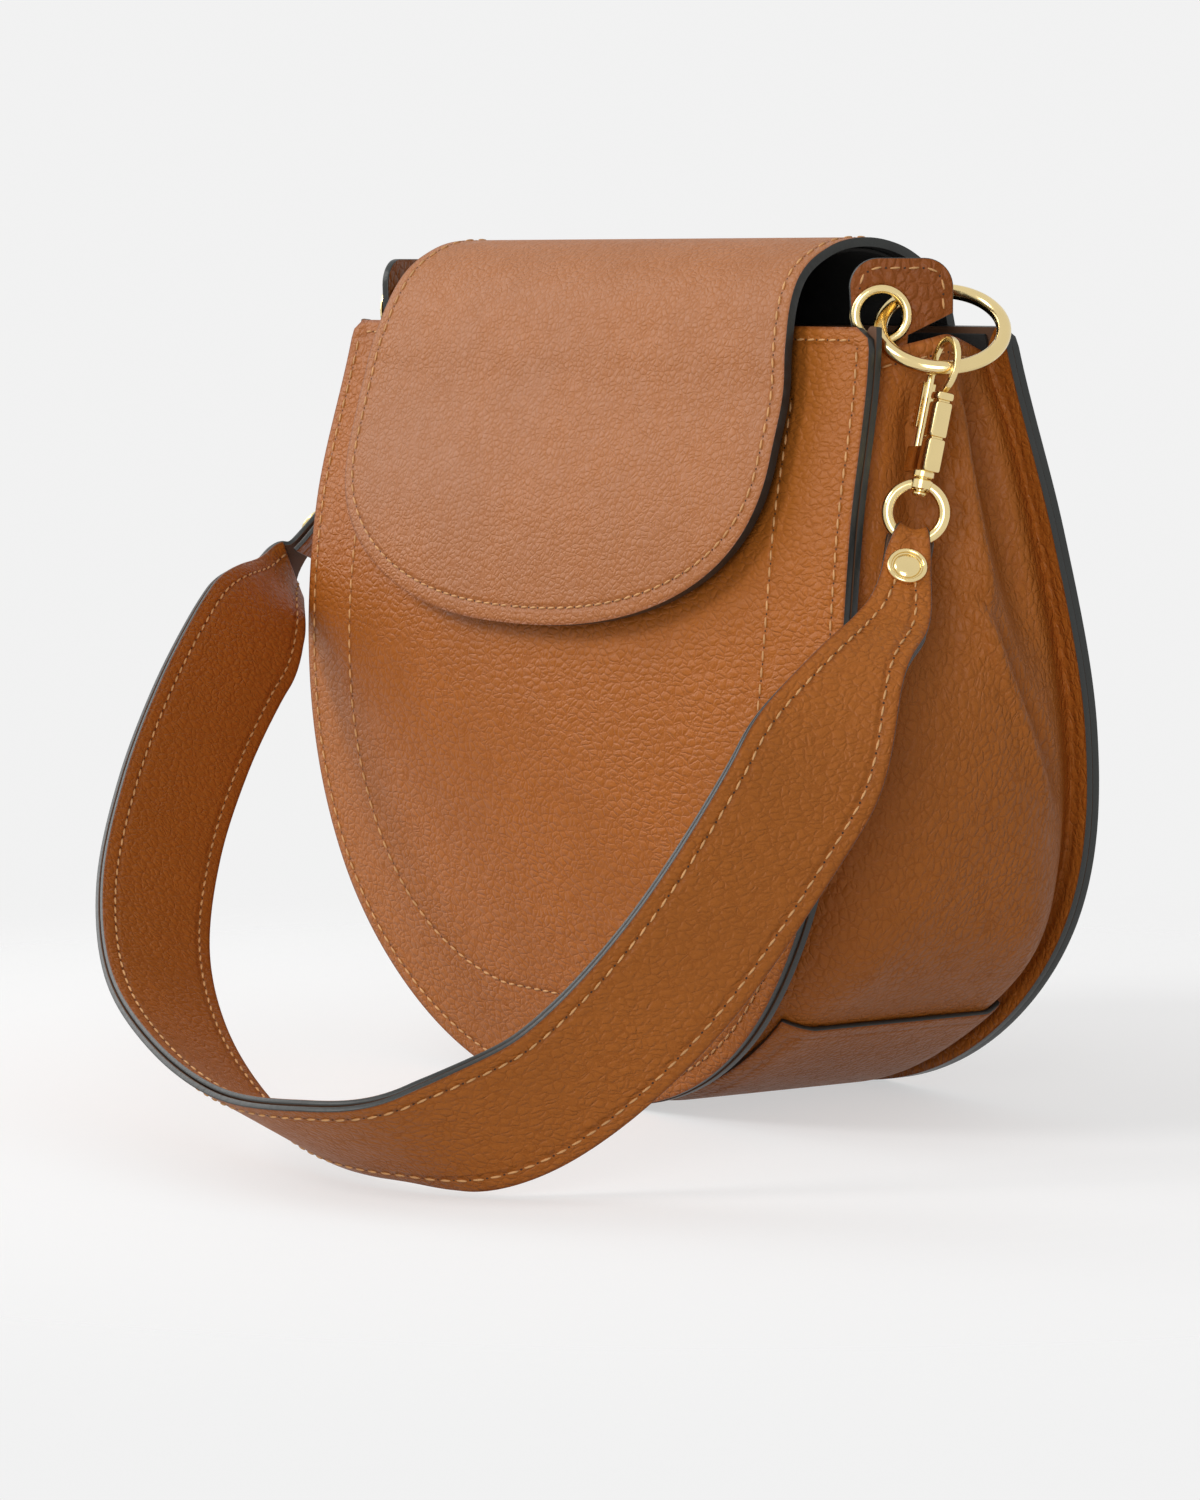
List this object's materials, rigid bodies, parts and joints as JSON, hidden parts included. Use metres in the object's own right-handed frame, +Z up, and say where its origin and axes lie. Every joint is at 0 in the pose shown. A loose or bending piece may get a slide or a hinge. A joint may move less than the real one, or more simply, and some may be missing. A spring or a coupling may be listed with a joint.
{
  "type": "handbag",
  "caption": "Saddle-shaped leather shoulder bag with a rounded fold-over flap, creased side gussets, ring tabs, snap hooks and a short hand strap.",
  "frame": {"origin": "middle of the flat underside of the base piece, on the floor", "axes": "+X to the bag's right seen from behind, -Y out of the front panel, +Z up"},
  "size_m": [0.3233, 0.2523, 0.235],
  "materials": {
    "leather": "pebbled, semi-gloss",
    "lining": "matt",
    "metal": "polished"
  },
  "bodies": {
    "bag": {"front_panel": "leather", "back_panel": "leather", "front_lining": "lining", "back_lining": "lining", "inner_pocket": "lining", "side_gusset_right": "leather", "side_gusset_left": "leather", "base_piece": "leather", "ring_tab_right": "leather", "ring_tab_left": "leather", "eyelet_right": "metal", "eyelet_left": "metal", "eyelet_washer_right": "metal", "eyelet_washer_left": "metal", "flap_anchor": "leather", "magnet_socket": "metal"},
    "flap": {"flap_shell": "leather", "flap_lining": "lining", "magnet_stud": "metal"},
    "strap": {"strap_outer": "leather", "strap_lining": "leather", "strap_rivet_right": "metal", "strap_rivet_left": "metal", "swivel_eye_right": "metal", "swivel_eye_left": "metal"},
    "hook_right": {"hook_body_right": "metal"},
    "hook_left": {"hook_body_left": "metal"},
    "bolt_right": {"hook_bolt_right": "metal"},
    "bolt_left": {"hook_bolt_left": "metal"},
    "ring_right": {"o_ring_right": "metal"},
    "ring_left": {"o_ring_left": "metal"}
  },
  "joints": [
    {"name": "flap_hinge", "type": "hinge", "parent": "bag", "child": "flap", "pos_m": [0, 0.0146, 0.213], "axis": [-1, 0, 0], "range_deg": [0, 150]},
    {"name": "strap_swing", "type": "hinge", "parent": "bag", "child": "strap", "pos_m": [0, -0.0228, 0.20175], "axis": [-1, 0, 0], "range_deg": [0, 140]},
    {"name": "hook_right_swivel", "type": "hinge", "parent": "strap", "child": "hook_right", "pos_m": [0.13897, -0.0228, 0.20175], "axis": [0, 0.2334, 0.9724], "range_deg": [-140, 0]},
    {"name": "hook_left_swivel", "type": "hinge", "parent": "strap", "child": "hook_left", "pos_m": [-0.13897, -0.0228, 0.20175], "axis": [0, 0.2334, 0.9724], "range_deg": [0, 140]},
    {"name": "bolt_right_slide", "type": "slide", "parent": "hook_right", "child": "bolt_right", "axis": [0, -0.2334, -0.9724], "range_m": [0, 0.0046], "stiffness_N_per_m": 120, "springref_m": -0.003},
    {"name": "bolt_left_slide", "type": "slide", "parent": "hook_left", "child": "bolt_left", "axis": [0, -0.2334, -0.9724], "range_m": [0, 0.0046], "stiffness_N_per_m": 120, "springref_m": -0.003},
    {"name": "ring_right_spin", "type": "hinge", "parent": "bag", "child": "ring_right", "pos_m": [0.12873, -0.01566, 0.21143], "axis": [0.5027, -0.3507, 0.7902], "continuous": true},
    {"name": "ring_left_spin", "type": "hinge", "parent": "bag", "child": "ring_left", "pos_m": [-0.12873, -0.01566, 0.21143], "axis": [-0.5027, -0.3507, 0.7902], "continuous": true}
  ],
  "couplings": [
    {"joint": "hook_right_swivel", "follows": "strap_swing", "ratio": -1},
    {"joint": "hook_left_swivel", "follows": "strap_swing", "ratio": 1}
  ]
}
